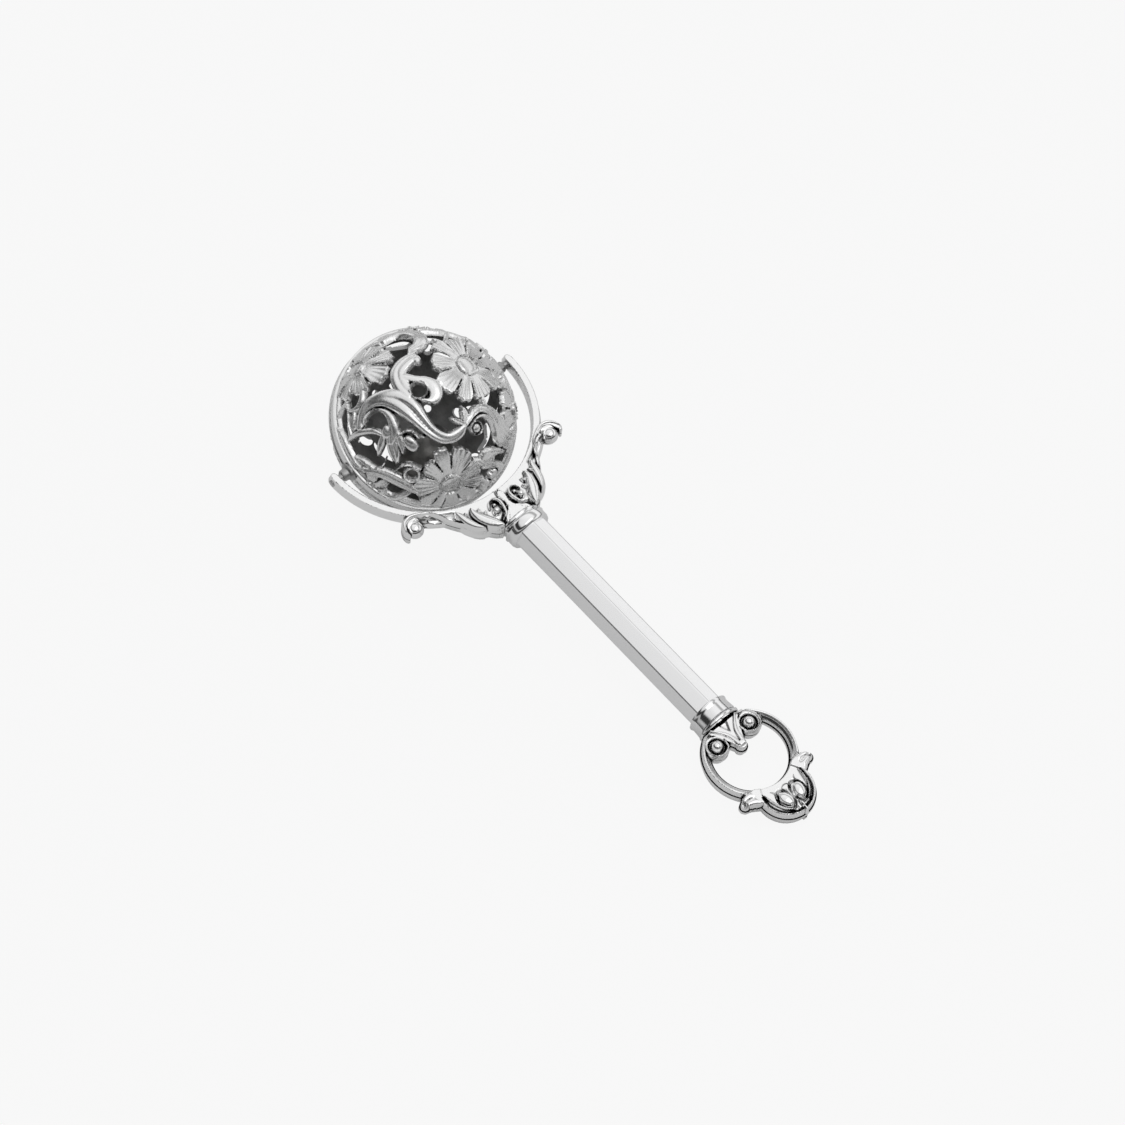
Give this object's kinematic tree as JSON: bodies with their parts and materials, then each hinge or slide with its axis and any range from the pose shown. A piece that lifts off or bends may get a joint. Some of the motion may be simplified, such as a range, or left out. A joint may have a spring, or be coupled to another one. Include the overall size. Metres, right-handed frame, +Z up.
{
  "type": "baby rattle",
  "caption": "Silver baby rattle: an openwork ball with a loose bell inside spins in a leafed yoke on an octagonal handle that ends in a finger loop.",
  "frame": {"origin": "middle of the bounding box in X and Y, on the table that the rattle lies on", "axes": "+X from the ball to the finger loop, +Y along the ball's axle, +Z up from the table, out of the yoke's front"},
  "size_m": [0.1302, 0.0474, 0.038],
  "materials": {
    "polished_silver": "polished silver with fine handling marks",
    "chased_silver": "chased silver, bright on the high points and darkened in the recesses",
    "pin_metal": "satin, slightly tarnished",
    "bell_metal": "dark patinated brass"
  },
  "bodies": {
    "handle": {"yoke": "polished_silver", "yoke_leaves_front": "chased_silver", "yoke_leaves_back": "chased_silver", "yoke_knobs": "polished_silver", "pivot_pin_left": "pin_metal", "pivot_pin_right": "pin_metal", "collar": "polished_silver", "handle_tube": "polished_silver", "handle_ferrule": "polished_silver", "ferrule_bead": "polished_silver", "ring_terminal": "polished_silver", "terminal_leaves_front": "chased_silver", "terminal_leaves_back": "chased_silver"},
    "ball": {"shell_upper": "chased_silver", "shell_lower": "chased_silver", "seam_band": "chased_silver", "bush_left": "pin_metal", "bush_right": "pin_metal"},
    "bell": {"bell_upper": "bell_metal", "bell_lower": "bell_metal"},
    "pellet": {"bell_pellet": "pin_metal"}
  },
  "joints": [
    {"name": "ball_spin", "type": "hinge", "parent": "handle", "child": "ball", "pos_m": [-0.0461, 0, 0.019], "axis": [0, 1, 0], "continuous": true},
    {"name": "bell_swing", "type": "hinge", "parent": "handle", "child": "bell", "pos_m": [-0.0461, 0, 0.019], "axis": [0, 1, 0], "continuous": true},
    {"name": "pellet_swing", "type": "hinge", "parent": "bell", "child": "pellet", "pos_m": [-0.0461, 0, 0.0081], "axis": [0, 1, 0], "continuous": true}
  ]
}
